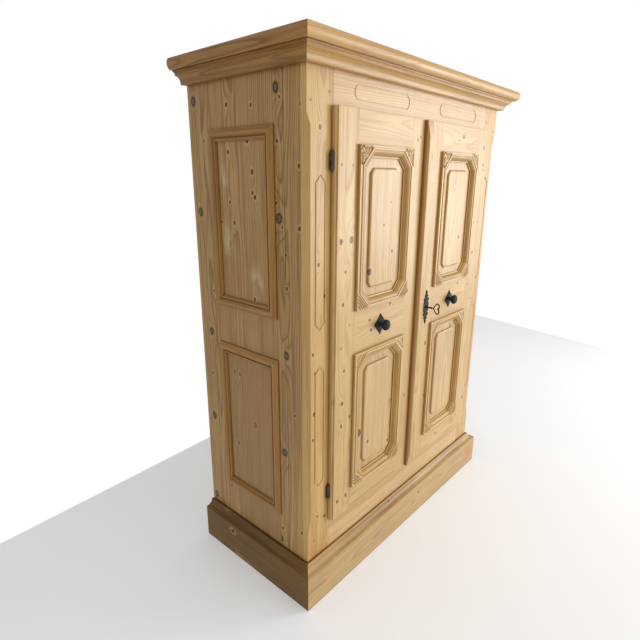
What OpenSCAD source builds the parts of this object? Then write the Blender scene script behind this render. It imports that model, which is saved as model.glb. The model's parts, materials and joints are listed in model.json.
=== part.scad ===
// Two-door pine armoire: framed carcass on a plinth, overhanging cornice,
// lipped frame-and-panel doors, iron knobs, lock, key and pin hinges.
// Frame: +Z up, the front faces -Y, origin at the centre of the overall
// footprint, on the floor.

/* [Carcass] */
// Width of the carcass between its outer side faces
carcass_w = 1304; // [1240:2:1380]
// Depth of the carcass from the front frame to the back boards
carcass_d = 582; // [540:2:640]
// Overall height to the top of the cornice
total_h = 1945; // [1905:2:1985]
// Thickness of the front frame and of the side boards' front post
frame_t = 25; // [22:1:28]
// Thickness of the side boards
side_t = 22; // [18:1:25]
// Width of each front stile
stile_w = 117; // [105:1:125]
// Thickness of the back boards
back_t = 14; // [10:1:18]

/* [Plinth and cornice] */
// How far the plinth stands out from the carcass
plinth_over = 41; // [38:1:44]
// Height of the plinth's flat face
plinth_flat = 143; // [130:1:150]
// Height of the plinth with its moulded top edge
plinth_h = 170; // [164:1:176]
// How far the cornice stands out at its top
cornice_over = 74; // [74:1:74]
// Height of the cornice moulding
cornice_h = 79; // [79:1:79]

/* [Doors] */
// Thickness of a door
door_t = 28; // [26:1:30]
// How far the door face stands proud of the front frame
door_proud = 22; // [20:1:24]
// How far each door laps over the front frame
door_lip = 6; // [5:1:8]
// Height of the door opening's lower edge
open_z0 = 306; // [296:1:312]
// Height of the door opening's upper edge
open_z1 = 1760.6; // [1756:0.2:1764]
// Gap between the two doors
door_gap = 3; // [2.4:0.2:3.4]
// Width of each door stile
door_stile_w = 108; // [100:1:112]
// Height of the door's top rail
top_rail_h = 105; // [98:1:110]
// Height of the door's middle rail
mid_rail_h = 161; // [150:1:170]
// Height of the door's bottom rail
bottom_rail_h = 95; // [90:1:105]
// Height of the middle rail's centre line, where the knobs are
knob_z = 1029; // [1024:1:1034]

/* [Panels] */
// How far the panel surround stands proud of the door face
surround_proud = 11; // [8:1:13]
// Margin between the surround's edge and the octagonal moulding
surround_margin = 13; // [11:0.5:15]
// Corner cut of the octagonal moulding
octagon_cut = 54.5; // [50:0.5:58]
// Width of the octagonal moulding
moulding_w = 31.5; // [30:0.5:33]
// Flat margin between the moulding and the raised field
field_margin = 31; // [26:1:34]

/* [Side mouldings] */
// Distance from the front frame to the side mouldings
side_frame_y0 = 137; // [125:1:145]
// Width of the framed area on each side
side_frame_w = 328; // [315:1:340]
// Width of the side moulding
side_mould_w = 42; // [40:1:48]

/* [Ironwork] */
// Distance of the hinge pins outside the door edges
hinge_out = 6.5; // [6.3:0.1:7]
// Radius of the hinge barrels
barrel_r = 6; // [5.5:0.1:6]
// Height of one hinge, both knuckles together
hinge_h = 50; // [44:1:56]
// Radius of the pull knobs
knob_r = 21; // [18:1:23]
// Distance from the middle to the key
key_x = 66; // [60:1:70]

/* [Hidden] */
$fn = 64;

pine = [0.86, 0.72, 0.50];
pine_dark = [0.74, 0.58, 0.36];
honey = [0.78, 0.58, 0.30];
iron = [0.10, 0.10, 0.10];

// overall reach in front of the front frame: the key's bow
key_reach = 86;
HW = carcass_w / 2;
YF = key_reach - (carcass_d + key_reach) / 2;   // front frame face
YB = YF + carcass_d;                            // back face
YD = YF - door_proud;                           // door face
YI = YD + door_t;                               // inner face of the doors
LAP = 0.5;                                      // air between lip and frame
MITRE = 0.05;                                   // half of a mitre joint's gap

cornice_z = total_h - cornice_h;
top_z = total_h - 24;                           // top edge of sides and stiles

OX = HW - stile_w;                              // half width of the door opening
DX = OX + door_lip;                             // outer edge of a door
AX = DX + hinge_out;                            // hinge axis, x
AY = YF - barrel_r - 1;                         // hinge axis, y
door_z0 = open_z0 - door_lip;
door_z1 = open_z1 + door_lip;
MX = door_gap / 2;                              // meeting edge
PX0 = MX + door_stile_w + 1.5;                  // panel opening, inner x
PX1 = DX - door_stile_w;                        // panel opening, outer x
low_z0 = door_z0 + bottom_rail_h;
low_z1 = knob_z - mid_rail_h / 2;
up_z0 = knob_z + mid_rail_h / 2;
up_z1 = door_z1 - top_rail_h;
KX = (PX0 + PX1) / 2;                           // knob centre, x

hinge_top_z = 1608.5;                           // middles of the hinges
hinge_low_z = 426;

module box(a, b) { translate(a) cube(b - a); }

// local x, y, z become X, Z, -Y: for things that lie on the front
module on_front(y) { translate([0, y, 0]) rotate([90, 0, 0]) children(); }
// local x, y, z become -Y, Z, -X: for things that lie on the left side
module on_left(x) { translate([x, 0, 0]) rotate([90, 0, -90]) children(); }
module mirrored() { mirror([1, 0, 0]) children(); }

// points of an arc
function arc(c, r, a0, a1, n) = [for (i = [0:n]) c + r * [cos(a0 + (a1 - a0) * i / n), sin(a0 + (a1 - a0) * i / n)]];
// octagon with cut corners, counter-clockwise; a zero cut gives a rectangle
function oct(x0, x1, y0, y1, c) = c == 0
  ? [[x0, y0], [x1, y0], [x1, y1], [x0, y1]]
  : [[x0 + c, y0], [x1 - c, y0], [x1, y0 + c], [x1, y1 - c],
     [x1 - c, y1], [x0 + c, y1], [x0, y1 - c], [x0, y0 + c]];
// the same figure moved inwards by t
function inset(x0, x1, y0, y1, c, t) =
  oct(x0 + t, x1 - t, y0 + t, y1 - t, c == 0 ? 0 : c - t * (2 - sqrt(2)));

// mitred strips along the edges of a figure; the profile is [inward, height]
module strips(o, i, profile) {
  n = len(o);
  for (k = [0:n - 1]) {
    a = o[k]; b = o[(k + 1) % n]; d = (b - a) / norm(b - a) * MITRE;
    l = norm(b - a);
    intersection() {
      translate([a[0], a[1], 0]) rotate([0, 0, atan2(b[1] - a[1], b[0] - a[0])])
        rotate([90, 0, 90]) translate([0, 0, -1]) linear_extrude(l + 2) polygon(profile);
      translate([0, 0, -60]) linear_extrude(120)
        let (p = i[k], q = i[(k + 1) % n])
        polygon([a + (a - p) * 0.3 + d, b + (b - q) * 0.3 - d, q + (q - b) * 0.3 - d, p + (p - a) * 0.3 + d]);
    }
  }
}

// ---------- plinth ----------
// flat board, cove, small bead, and a sinking that leaves a dark line at the carcass
plinth_profile = concat([[0, 0], [plinth_over, 0], [plinth_over, plinth_flat - 1], [plinth_over - 1, plinth_flat]],
  [for (t = [90:-10:0]) [plinth_over - 3 - (plinth_over - 15) * cos(t), plinth_h - 5 - (plinth_h - plinth_flat - 6) * sin(t)]],
  [[12, plinth_h - 2.5], [10.5, plinth_h - 0.8], [8.5, plinth_h], [4.5, plinth_h], [3, plinth_h - 1.2], [3, plinth_h - 8], [0, plinth_h - 8]]);

module run_front(profile, o) {
  intersection() {
    translate([HW + o + 1, YF, 0]) rotate([90, 0, -90]) linear_extrude(2 * (HW + o + 1)) polygon(profile);
    translate([0, 0, -1]) linear_extrude(total_h + 2) polygon([
      [-HW - o + MITRE, YF - o], [HW + o - MITRE, YF - o], [HW - MITRE, YF], [-HW + MITRE, YF]]);
  }
}
module run_left(profile, o) {
  intersection() {
    translate([-HW, YF - o - 1, 0]) rotate([90, 0, 180]) linear_extrude(YB - YF + o + 1) polygon(profile);
    translate([0, 0, -1]) linear_extrude(total_h + 2) polygon([
      [-HW - o, YF - o + MITRE], [-HW, YF + MITRE], [-HW, YB], [-HW - o, YB]]);
  }
}
module plinth_front() { color(pine) run_front(plinth_profile, plinth_over); }
module plinth_left() { color(pine_dark) run_left(plinth_profile, plinth_over); }
module plinth_right() { color(pine_dark) mirrored() run_left(plinth_profile, plinth_over); }

// ---------- cornice ----------
cz = cornice_z;
cornice_profile = concat([[0, cz], [23, cz], [24, cz + 1], [24, cz + 4]],
  arc([47, cz + 4], 23, 178, 92, 9), [[46, cz + 27.5], [46, cz + 34], [48, cz + 34.6], [48, cz + 36], [54, cz + 36.6],
  [54, cz + 42.5]], arc([49, cz + 62], 25, -57, 38, 14), [[67, cz + 79], [0, cz + 79]]);
module cornice_front() { color(honey) run_front(cornice_profile, cornice_over); }
module cornice_left() { color(honey) run_left(cornice_profile, cornice_over); }
module cornice_right() { color(honey) mirrored() run_left(cornice_profile, cornice_over); }

// ---------- carcass ----------
side_cuts = [YF + frame_t, YF + side_frame_y0 + 4, YF + side_frame_y0 + side_frame_w - 4, YB - back_t];
module side_boards() {
  for (i = [0:2]) box([-HW, side_cuts[i] + (i > 0 ? 0.1 : 0), 0], [-HW + side_t, side_cuts[i + 1] - (i < 2 ? 0.1 : 0), top_z]);
}
module left_side_boards() { color(pine_dark) side_boards(); }
module right_side_boards() { color(pine_dark) mirrored() side_boards(); }

cham_x = 16; cham_y = 21;                       // corner chamfer of the stiles
cham_z0 = 346; cham_z1 = 1704;
// closed groove of width w and depth d, around an octagonal outline
module groove(x0, x1, z0, z1, c, w, d) {
  on_front(YF) translate([0, 0, -d]) linear_extrude(d + 1) difference() {
    polygon(oct(x0, x1, z0, z1, c));
    polygon(inset(x0, x1, z0, z1, c, w));
  }
}
module front_stile() {
  difference() {
    box([-HW, YF, 0], [-OX, YF + frame_t, top_z]);
    // chamfer between its two stops
    translate([0, 0, cham_z0]) linear_extrude(cham_z1 - cham_z0)
      polygon([[-HW - 1, YF - 1], [-HW + cham_x + 1, YF - 1], [-HW + cham_x, YF], [-HW, YF + cham_y], [-HW - 1, YF + cham_y + 1]]);
    // sloping stops
    for (s = [0, 1]) translate([0, 0, s == 0 ? cham_z0 : cham_z1]) mirror([0, 0, 1 - s]) polyhedron(
      [[-HW + cham_x, YF, 0], [-HW, YF + cham_y, 0], [-HW, YF, s == 0 ? 58 : 34], [-HW - 8, YF - 8, 0]],
      [[0, 2, 1], [0, 1, 3], [0, 3, 2], [1, 2, 3]]);
    // tall routed outlines
    groove(-HW + 36, -HW + 84, 1072, 1566, 21, 4.5, 1.8);
    groove(-HW + 36, -HW + 84, 474, 940, 21, 4.5, 1.8);
    // slots for the hinge leaves and holes for the pegs
    for (z = [hinge_top_z, hinge_low_z]) box([-AX - 1, YF - 1, z - hinge_h / 2], [-AX + 1, YF + 18, z]);
    for (p = stile_pegs) peg_hole(p, YF);
  }
}
stile_pegs = [[-635, 1771], [-552, 1802], [-617, 245], [-563, 224]];
module peg_hole(p, y) { on_front(y) translate([p[0], p[1], -12]) cylinder(r = 4.5, h = 14); }
module peg(p, y) { on_front(y) translate([p[0], p[1], -12]) cylinder(r = 4.5, h = 12.5); }
module left_front_stile() { color(pine) front_stile(); }
module right_front_stile() { color(pine) mirrored() front_stile(); }
module frame_pegs() { color(honey) for (p = stile_pegs) { peg(p, YF); peg([-p[0], p[1]], YF); } }

module front_top_rail() {
  color(pine) difference() {
    box([-OX, YF, open_z1], [OX, YF + frame_t, top_z]);
    groove(-433, -112, 1792, 1843, 15, 4.5, 1.8);
    groove(112, 433, 1792, 1843, 15, 4.5, 1.8);
  }
}
module front_bottom_rail() {
  color(pine) box([-OX, YF, 40], [OX, YF + frame_t, open_z0]);
}
back_n = 5;
module back_boards() {
  w = carcass_w / back_n;
  color(pine_dark) for (i = [0:back_n - 1])
    box([-HW + i * w + (i > 0 ? 0.3 : 0), YB - back_t, 90], [-HW + (i + 1) * w - (i < back_n - 1 ? 0.3 : 0), YB, top_z]);
}
module top_board() { color(pine_dark) box([-HW, YF, top_z], [HW, YB, top_z + 20]); }
module floor_board() { color(pine_dark) box([-HW + side_t, YF + frame_t, 268], [HW - side_t, YB - back_t, 290]); }
module floor_bearers() {
  color(pine_dark) for (s = [-1, 1]) translate([s * (HW - side_t - 12.5), 0, 0])
    box([-12.5, YF + frame_t, 236], [12.5, YB - back_t, 268]);
}

// ---------- side mouldings ----------
side_profile = concat([[0, 0], [0, 5], [1, 6], [4, 6], [5, 7.5]],
  arc([17, 5], 10.5, 158, 22, 10), [[28, 8], [28.5, 6], [31, 6], [31.5, 8]],
  arc([34.5, 7], 3.5, 160, 20, 6), [[38.4, 7.5], [39, 4], [side_mould_w, 3.5], [side_mould_w, 0]]);
module side_mouldings() {
  y0 = -(YF + side_frame_y0); y1 = y0 - side_frame_w;
  for (z = [[1094, 1715], [312, 945]])
    on_left(-HW) strips(oct(y1, y0, z[0], z[1], 0), inset(y1, y0, z[0], z[1], 0, side_mould_w), side_profile);
}
module left_side_mouldings() { color(honey) side_mouldings(); }
module right_side_mouldings() { color(honey) mirrored() side_mouldings(); }

// ---------- inside ----------
shelf_z = 1600;
module hat_shelf() { color(pine) box([-HW + side_t, YF + 70, shelf_z], [HW - side_t, YB - back_t, shelf_z + 20]); }
module shelf_cleats() {
  color(pine_dark) for (s = [-1, 1]) translate([s * (HW - side_t - 11), 0, 0])
    box([-11, YF + 70, shelf_z - 32], [11, YB - back_t, shelf_z]);
}
rail_y = (YF + YB) / 2;
rail_z = 1520;
module clothes_rail() {
  color(pine) translate([-HW + side_t + 4, rail_y, rail_z]) rotate([0, 90, 0]) cylinder(r = 15, h = 2 * (HW - side_t - 4));
}
module rail_brackets() {
  color(pine_dark) for (s = [0, 1]) mirror([s, 0, 0]) difference() {
    box([-HW + side_t, rail_y - 38, rail_z - 34], [-HW + side_t + 20, rail_y + 38, rail_z + 34]);
    translate([-HW + side_t + 4, rail_y, rail_z]) rotate([0, 90, 0]) cylinder(r = 15.2, h = 30);
  }
}

// ---------- hinges ----------
module knuckle(z0, h, bored) {
  translate([-AX, AY, z0]) difference() {
    cylinder(r = barrel_r, h = h);
    if (bored) translate([0, 0, -1]) cylinder(r = 3.05, h = h - 3);
  }
}
module hinge_frame_leaf(z) {
  knuckle(z - hinge_h / 2, hinge_h / 2 - 0.2, false);
  translate([-AX, AY, z - hinge_h / 2 - 5]) cylinder(r1 = 2.5, r2 = 4.5, h = 5);
  translate([-AX, AY, z - 1]) cylinder(r = 3, h = hinge_h / 2 - 4);
  box([-AX - 1, AY, z - hinge_h / 2], [-AX + 1, YF + 18, z - 0.2]);
}
module hinge_door_leaf(z) {
  difference() {
    union() {
      translate([-AX, AY, z + 0.2]) cylinder(r = barrel_r, h = hinge_h / 2 - 0.2);
      translate([-AX, AY, z + hinge_h / 2]) cylinder(r1 = 4.5, r2 = 2.5, h = 5);
      box([-AX, AY - 1, z + 0.2], [-AX + 34, AY + 1, z + hinge_h / 2]);
    }
    translate([-AX, AY, z - 1]) cylinder(r = 3.05, h = hinge_h / 2 - 1.5);
  }
}
module hinge_frame_leaves() {
  color(iron) for (s = [0, 1]) mirror([s, 0, 0]) for (z = [hinge_top_z, hinge_low_z]) hinge_frame_leaf(z);
}
module left_hinge_leaves() { color(iron) for (z = [hinge_top_z, hinge_low_z]) hinge_door_leaf(z); }
module right_hinge_leaves() { color(iron) mirrored() for (z = [hinge_top_z, hinge_low_z]) hinge_door_leaf(z); }

// ---------- doors (left one drawn, right one mirrored) ----------
lip_y = YF - LAP;
in_z0 = open_z0 + 2.4; in_z1 = open_z1 - 2.4;
// removes the part of the door's back that would meet the frame
module rebate() {
  box([-DX - 2, lip_y, door_z0 - 2], [0, YI + 2, in_z0]);
  box([-DX - 2, lip_y, in_z1], [0, YI + 2, door_z1 + 2]);
}
door_peg_pts = [[-516, 1597], [-458, 1597], [-506, 1360], [-459, 1360], [-511, 365], [-456, 365],
  [-506, 990], [-459, 1066]];
module door_hinge_stile() {
  difference() {
    translate([0, 0, door_z0]) linear_extrude(door_z1 - door_z0) polygon(concat(
      [[-PX1, YD], [-PX1, YI], [-OX + 2, YI], [-OX + 2, lip_y], [-DX, lip_y], [-DX, YD + 11]],
      arc([-DX + 5.5, YD + 10.5], 5.5, 180, 270, 6), [[-DX + 6.6, YD + 5], [-DX + 7.2, YD + 0.7], [-DX + 7.9, YD]]));
    rebate();
    for (z = [hinge_top_z, hinge_low_z]) box([-DX - 1, AY - 1, z + 0.2], [-AX + 34, AY + 1, z + hinge_h / 2]);
    for (p = door_peg_pts) peg_hole(p, YD);
  }
}
module door_meeting_stile(lock) {
  difference() {
    box([-PX0, YD, door_z0], [-MX, YI, door_z1]);
    rebate();
    if (lock) {
      on_front(YI + 1) translate([-key_x, knob_z, 0]) cylinder(r = 4.6, h = door_t + 2);
      box([-key_x - 1.8, YD - 1, knob_z - 13], [-key_x + 1.8, YI + 1, knob_z]);
    }
  }
}
module door_rail(z0, z1) { difference() { box([-PX1, YD, z0], [-PX0, YI, z1]); rebate(); } }
module mid_rail() {
  difference() {
    door_rail(low_z1, up_z0);
    on_front(YD) translate([-KX, knob_z, -14]) cylinder(r = 4.05, h = 16);
  }
}
// panel with a raised octagonal field
panel_y = YD + 8;
margin_z = surround_margin - 5.5;                // the same margin above and below
module panel(z0, z1) {
  mx = surround_margin; mz = margin_z; t = moulding_w + field_margin;
  on_front(panel_y) {
    translate([-PX1, z0, -12]) cube([PX1 - PX0, z1 - z0, 12]);
    for (k = [0:3]) linear_extrude(2 * (k + 1))
      polygon(inset(-PX1 + mx, -PX0 - mx, z0 + mz, z1 - mz, octagon_cut, t + [0, 1.5, 3.2, 5.4][k]));
  }
}
// the square-cornered surround, in four mitred pieces with octagonal inner edge
module surround(z0, z1) {
  x0 = -PX1; x1 = -PX0; o = oct(x0, x1, z0, z1, 0); mm = surround_margin;
  mz = margin_z; c = octagon_cut + 9; e = 0.1;
  on_front(YD + 8) linear_extrude(surround_proud + 8) {
    polygon([[x0, z0 + c + e], [x0 + mm, z0 + c + e], [x0 + mm, z1 - c - e], [x0, z1 - c - e]]);
    polygon([[x1, z0 + c + e], [x1, z1 - c - e], [x1 - mm, z1 - c - e], [x1 - mm, z0 + c + e]]);
    polygon([[x0 + c + e, z0], [x1 - c - e, z0], [x1 - c - e, z0 + mz], [x0 + c + e, z0 + mz]]);
    polygon([[x0 + c + e, z1], [x0 + c + e, z1 - mz], [x1 - c - e, z1 - mz], [x1 - c - e, z1]]);
    // corner blocks
    q = octagon_cut;
    for (k = [0:3]) let (sx = k % 2, sz = floor(k / 2)) polygon([for (p = [[0, 0], [c, 0], [c, mz],
      [q + mm, mz], [mm, q + mz], [mm, c], [0, c]]) [sx == 0 ? x0 + p[0] : x1 - p[0], sz == 0 ? z0 + p[1] : z1 - p[1]]]);
  }
}
door_mould = concat([[0, 0], [0, 21], [0.8, 22], [4.2, 22], [5, 21], [5, 19.6]],
  arc([8.5, 1], 18.6, 98, 24, 9), [[25.8, 6.4], [26, 4.6], [30.4, 4.2], [moulding_w, 3], [moulding_w, 0]]);
module octagon_moulding(z0, z1) {
  m = surround_margin; n = margin_z;
  on_front(YD + 8) strips(oct(-PX1 + m, -PX0 - m, z0 + n, z1 - n, octagon_cut),
    inset(-PX1 + m, -PX0 - m, z0 + n, z1 - n, octagon_cut, moulding_w), door_mould);
}
module door_pegs() { for (p = door_peg_pts) peg(p, YD); }

module knob() {
  on_front(YD) translate([-KX, knob_z, 0]) rotate_extrude() polygon(concat(
    [[0, -14], [4, -14], [4, 0], [4, 2.5], [11, 2.5], [11, 4], [8.5, 5.5], [7, 8], [6.5, 13], [7.5, 15.5], [10.5, 16.5], [10.5, 18.5], [9, 19.5]],
    arc([knob_r - 7.5, 27], 7.5, -80, 75, 10), [[9, 37], [4, 39.5], [0, 40]]));
}
// square plate standing on one corner, with a scalloped edge
function plate_r(a) = 42 / (abs(cos(a)) + abs(sin(a))) * (0.965 + 0.035 * cos(24 * a));
module knob_plate() {
  on_front(YD) translate([-KX, knob_z, 0]) difference() {
    linear_extrude(2.5) polygon([for (i = [0:95]) let (a = i * 3.75) plate_r(a) * [cos(a) * 0.96, sin(a)]]);
    translate([0, 0, -1]) cylinder(r = 4.05, h = 5);
  }
}

module left_door_hinge_stile() { color(pine) door_hinge_stile(); }
module left_door_meeting_stile() { color(pine) door_meeting_stile(false); }
module left_door_top_rail() { color(pine) door_rail(up_z1, door_z1); }
module left_door_middle_rail() { color(pine) mid_rail(); }
module left_door_bottom_rail() { color(pine) door_rail(door_z0, low_z0); }
module left_upper_panel() { color(pine) panel(up_z0, up_z1); }
module left_lower_panel() { color(pine) panel(low_z0, low_z1); }
module left_panel_surrounds() { color(pine) { surround(up_z0, up_z1); surround(low_z0, low_z1); } }
module left_panel_mouldings() { color(honey) { octagon_moulding(up_z0, up_z1); octagon_moulding(low_z0, low_z1); } }
module left_knob() { color(iron) knob(); }
module left_knob_plate() { color(iron) knob_plate(); }
module left_door_pegs() { color(honey) door_pegs(); }

module right_door_hinge_stile() { color(pine) mirrored() door_hinge_stile(); }
module right_door_meeting_stile() { color(pine) mirrored() door_meeting_stile(true); }
module right_door_top_rail() { color(pine) mirrored() door_rail(up_z1, door_z1); }
module right_door_middle_rail() { color(pine) mirrored() mid_rail(); }
module right_door_bottom_rail() { color(pine) mirrored() door_rail(door_z0, low_z0); }
module right_upper_panel() { color(pine) mirrored() panel(up_z0, up_z1); }
module right_lower_panel() { color(pine) mirrored() panel(low_z0, low_z1); }
module right_panel_surrounds() { color(pine) mirrored() { surround(up_z0, up_z1); surround(low_z0, low_z1); } }
module right_panel_mouldings() { color(honey) mirrored() { octagon_moulding(up_z0, up_z1); octagon_moulding(low_z0, low_z1); } }
module right_knob() { color(iron) mirrored() knob(); }
module right_knob_plate() { color(iron) mirrored() knob_plate(); }
module right_door_pegs() { color(honey) mirrored() door_pegs(); }

// strip on the right door that covers the gap and laps the left door
strip_x0 = -32; strip_x1 = 10; strip_t = 20.5; strip_c = 10;
module meeting_strip() {
  h = door_z1 - door_z0;
  color(honey) difference() {
    union() {
      box([strip_x0, YD - strip_t, door_z0], [strip_x1, YD - 0.4, door_z1]);
      box([MX, YD - 1, door_z0], [strip_x1, YD, door_z1]);
    }
    translate([0, 0, door_z0 - 1]) linear_extrude(h + 2)
      polygon([[strip_x0 - 1, YD - strip_t - 1], [strip_x0 + strip_c, YD - strip_t - 1], [strip_x0 + strip_c, YD - strip_t],
        [strip_x0, YD - strip_t + strip_c], [strip_x0 - 1, YD - strip_t + strip_c]]);
    // both ends slope back
    translate([strip_x0 - 1, 0, 0]) rotate([90, 0, 90]) linear_extrude(strip_x1 - strip_x0 + 2) {
      polygon([[YD - strip_t, door_z1 - 60], [YD - 12, door_z1 + 1], [YD - strip_t - 1, door_z1 + 1], [YD - strip_t - 1, door_z1 - 60]]);
      polygon([[YD - strip_t, door_z0 + 60], [YD - strip_t - 1, door_z0 + 60], [YD - strip_t - 1, door_z0 - 1], [YD - 12, door_z0 - 1]]);
    }
  }
}

// ---------- lock ----------
// outline of one half of the escutcheon, from the top point downwards
esc_half = [[0, 75], [2.5, 68], [6, 64], [5, 59], [3, 56], [7, 53], [12, 52], [13, 47], [9, 44], [13, 40], [19, 37],
  [23, 31], [20, 26], [15, 24], [18, 19], [22, 13], [23, 6]];
module escutcheon() {
  pts = concat(esc_half, [for (i = [len(esc_half) - 1:-1:0]) [esc_half[i][0], -esc_half[i][1]]]);
  left = [for (i = [len(pts) - 2:-1:1]) [-pts[i][0], pts[i][1]]];
  color(iron) on_front(YD) translate([key_x, knob_z, 0]) difference() {
    linear_extrude(2.5) polygon(concat(pts, left));
    translate([0, 0, -1]) cylinder(r = 4.6, h = 5);
    translate([-1.8, -13, -1]) cube([3.6, 13, 5]);
  }
}
module lock_case() {
  color(iron) difference() {
    box([2.5, YI, 985], [98, YI + 16, 1072]);
    box([4, YI - 1, 986.5], [96.5, YI + 14.5, 1070.5]);
    box([1, YI + 8.2, 1042.6], [5, YI + 12.8, 1059.4]);
  }
}
module lock_bolt() {
  color(iron) {
    box([3.2, YI + 8.5, 1043], [78, YI + 12.5, 1059]);
    box([58, YI + 8.5, 1036], [62, YI + 12.5, 1043.5]);
    box([72, YI + 8.5, 1036], [76, YI + 12.5, 1043.5]);
  }
}
module lock_keep() {
  color(iron) difference() {
    box([-34, YI, 1030], [-3.2, YI + 15, 1072]);
    box([-35, YI + 8, 1042.4], [-2, YI + 16, 1059.6]);
  }
}
// heart outline: first coordinate along the key, second across it, point towards the shaft
function heart(t, a, b) = [-a * (13 * cos(t) - 5 * cos(2 * t) - 2 * cos(3 * t) - cos(4 * t)), b * 16 * pow(sin(t), 3)];
module key() {
  // key points outwards along -Y; its heart-shaped bow lies in the vertical plane
  color(iron) {
    on_front(YI + 7.5) translate([key_x, knob_z, 0]) {
      cylinder(r = 3.5, h = door_t + 7.5 + 38);
      translate([0, 0, door_t + 7.5 + 4.5]) cylinder(r = 5.5, h = 3);
      translate([0, 0, door_t + 7.5 + 30]) cylinder(r = 5, h = 2.5);
    }
    box([key_x - 1.2, YI + 3.5, knob_z - 11.5], [key_x + 1.2, YI + 7.5, knob_z - 2]);
    translate([key_x - 2.2, YF - key_reach + 12.4, knob_z]) rotate([90, 0, 90]) linear_extrude(4.4) difference() {
      polygon([for (i = [0:47]) heart(i * 7.5, 1.04, 1.36)]);
      polygon([for (i = [0:47]) heart(i * 7.5, 0.74, 1.06) - [0.6, 0]]);
    }
  }
}

// ---------- slide bolts on the back of the left door; their tips pass behind the frame rails ----------
bolt_y = YF + frame_t + 6.2;
module bolt_rod(z0, z1, zh) {
  translate([-50, bolt_y, z0]) cylinder(r = 4, h = z1 - z0);
  translate([-50, bolt_y, zh]) rotate([-90, 0, 0]) cylinder(r = 3.5, h = 18);
  translate([-50, bolt_y + 15.4, zh]) rotate([-90, 0, 0]) cylinder(r = 6, h = 5);
}
module bolt_guide(z0, z1) {
  difference() {
    union() {
      box([-64, YI, z0], [-36, YI + 1.5, z1]);
      for (z = [z0 + 6, z1 - 18]) box([-58, YI + 1, z], [-42, bolt_y + 6, z + 12]);
    }
    translate([-50, bolt_y, z0 - 1]) cylinder(r = 4.05, h = z1 - z0 + 2);
  }
}
module bolt_guides() { color(iron) { bolt_guide(open_z1 - 120.6, open_z1 - 20.6); bolt_guide(open_z0 + 20, open_z0 + 120); } }
module upper_bolt() { color(iron) bolt_rod(open_z1 - 133.6, open_z1 - 3.6, open_z1 - 80.6); }
module lower_bolt() { color(iron) bolt_rod(open_z0 + 3.6, open_z0 + 133.6, open_z0 + 80); }

plinth_front();
plinth_left();
plinth_right();
left_side_boards();
right_side_boards();
left_front_stile();
right_front_stile();
front_top_rail();
front_bottom_rail();
back_boards();
top_board();
floor_board();
floor_bearers();
cornice_front();
cornice_left();
cornice_right();
left_side_mouldings();
right_side_mouldings();
hat_shelf();
shelf_cleats();
clothes_rail();
rail_brackets();
frame_pegs();
hinge_frame_leaves();
left_door_hinge_stile();
left_door_meeting_stile();
left_door_top_rail();
left_door_middle_rail();
left_door_bottom_rail();
left_upper_panel();
left_lower_panel();
left_panel_surrounds();
left_panel_mouldings();
left_knob();
left_knob_plate();
left_hinge_leaves();
left_door_pegs();
bolt_guides();
lock_keep();
upper_bolt();
lower_bolt();
right_door_hinge_stile();
right_door_meeting_stile();
right_door_top_rail();
right_door_middle_rail();
right_door_bottom_rail();
right_upper_panel();
right_lower_panel();
right_panel_surrounds();
right_panel_mouldings();
right_knob();
right_knob_plate();
right_hinge_leaves();
right_door_pegs();
meeting_strip();
escutcheon();
lock_case();
lock_bolt();
key();
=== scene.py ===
import math, random, json
import bpy, bmesh
import numpy as np
from mathutils import Vector, Matrix

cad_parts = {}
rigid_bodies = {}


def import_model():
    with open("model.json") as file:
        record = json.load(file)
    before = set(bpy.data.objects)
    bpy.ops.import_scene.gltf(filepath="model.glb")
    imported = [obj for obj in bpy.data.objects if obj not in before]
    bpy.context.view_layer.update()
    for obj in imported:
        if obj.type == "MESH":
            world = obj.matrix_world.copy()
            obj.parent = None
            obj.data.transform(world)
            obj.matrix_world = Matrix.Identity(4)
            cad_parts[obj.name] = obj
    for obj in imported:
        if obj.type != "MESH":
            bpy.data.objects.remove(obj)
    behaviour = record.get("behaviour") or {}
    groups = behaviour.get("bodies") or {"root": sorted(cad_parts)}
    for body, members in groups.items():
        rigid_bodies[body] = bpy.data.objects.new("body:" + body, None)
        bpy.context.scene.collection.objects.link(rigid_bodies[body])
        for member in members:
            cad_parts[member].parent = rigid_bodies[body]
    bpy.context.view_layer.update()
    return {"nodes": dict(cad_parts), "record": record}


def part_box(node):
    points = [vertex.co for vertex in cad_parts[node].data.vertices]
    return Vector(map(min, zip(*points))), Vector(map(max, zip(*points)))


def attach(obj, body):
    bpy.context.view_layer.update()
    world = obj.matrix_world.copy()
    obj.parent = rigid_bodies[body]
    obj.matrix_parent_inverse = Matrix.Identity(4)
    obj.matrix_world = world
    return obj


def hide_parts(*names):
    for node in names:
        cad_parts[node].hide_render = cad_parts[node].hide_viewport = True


for o in list(bpy.data.objects):
    bpy.data.objects.remove(o, do_unlink=True)
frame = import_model()
N = frame["nodes"]
BODY_OF = {n: b for b, ns in frame["record"]["behaviour"]["bodies"].items() for n in ns}
rng = random.Random(11)

# ---------------------------------------------------------------- dimensions (metres, from the frame)
lo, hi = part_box("left_front_stile")
HW, YF = -lo.x, lo.y
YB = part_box("back_boards")[1].y
lo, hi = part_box("left_door_hinge_stile")
DX, PX1 = -lo.x, -hi.x
YD, YI = lo.y, hi.y
DZ0, DZ1 = lo.z, hi.z
lo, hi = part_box("left_door_meeting_stile")
PX0, MX = -lo.x, -hi.x
lo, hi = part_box("left_upper_panel")
UZ0, UZ1 = lo.z, hi.z
lo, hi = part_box("left_lower_panel")
LZ0, LZ1 = lo.z, hi.z
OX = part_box("front_top_rail")[1].x
lo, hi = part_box("left_knob_plate")
KX, KZ = -(lo.x + hi.x) / 2, (lo.z + hi.z) / 2
lo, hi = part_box("escutcheon")
EX = (lo.x + hi.x) / 2
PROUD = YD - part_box("left_panel_surrounds")[0].y


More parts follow.
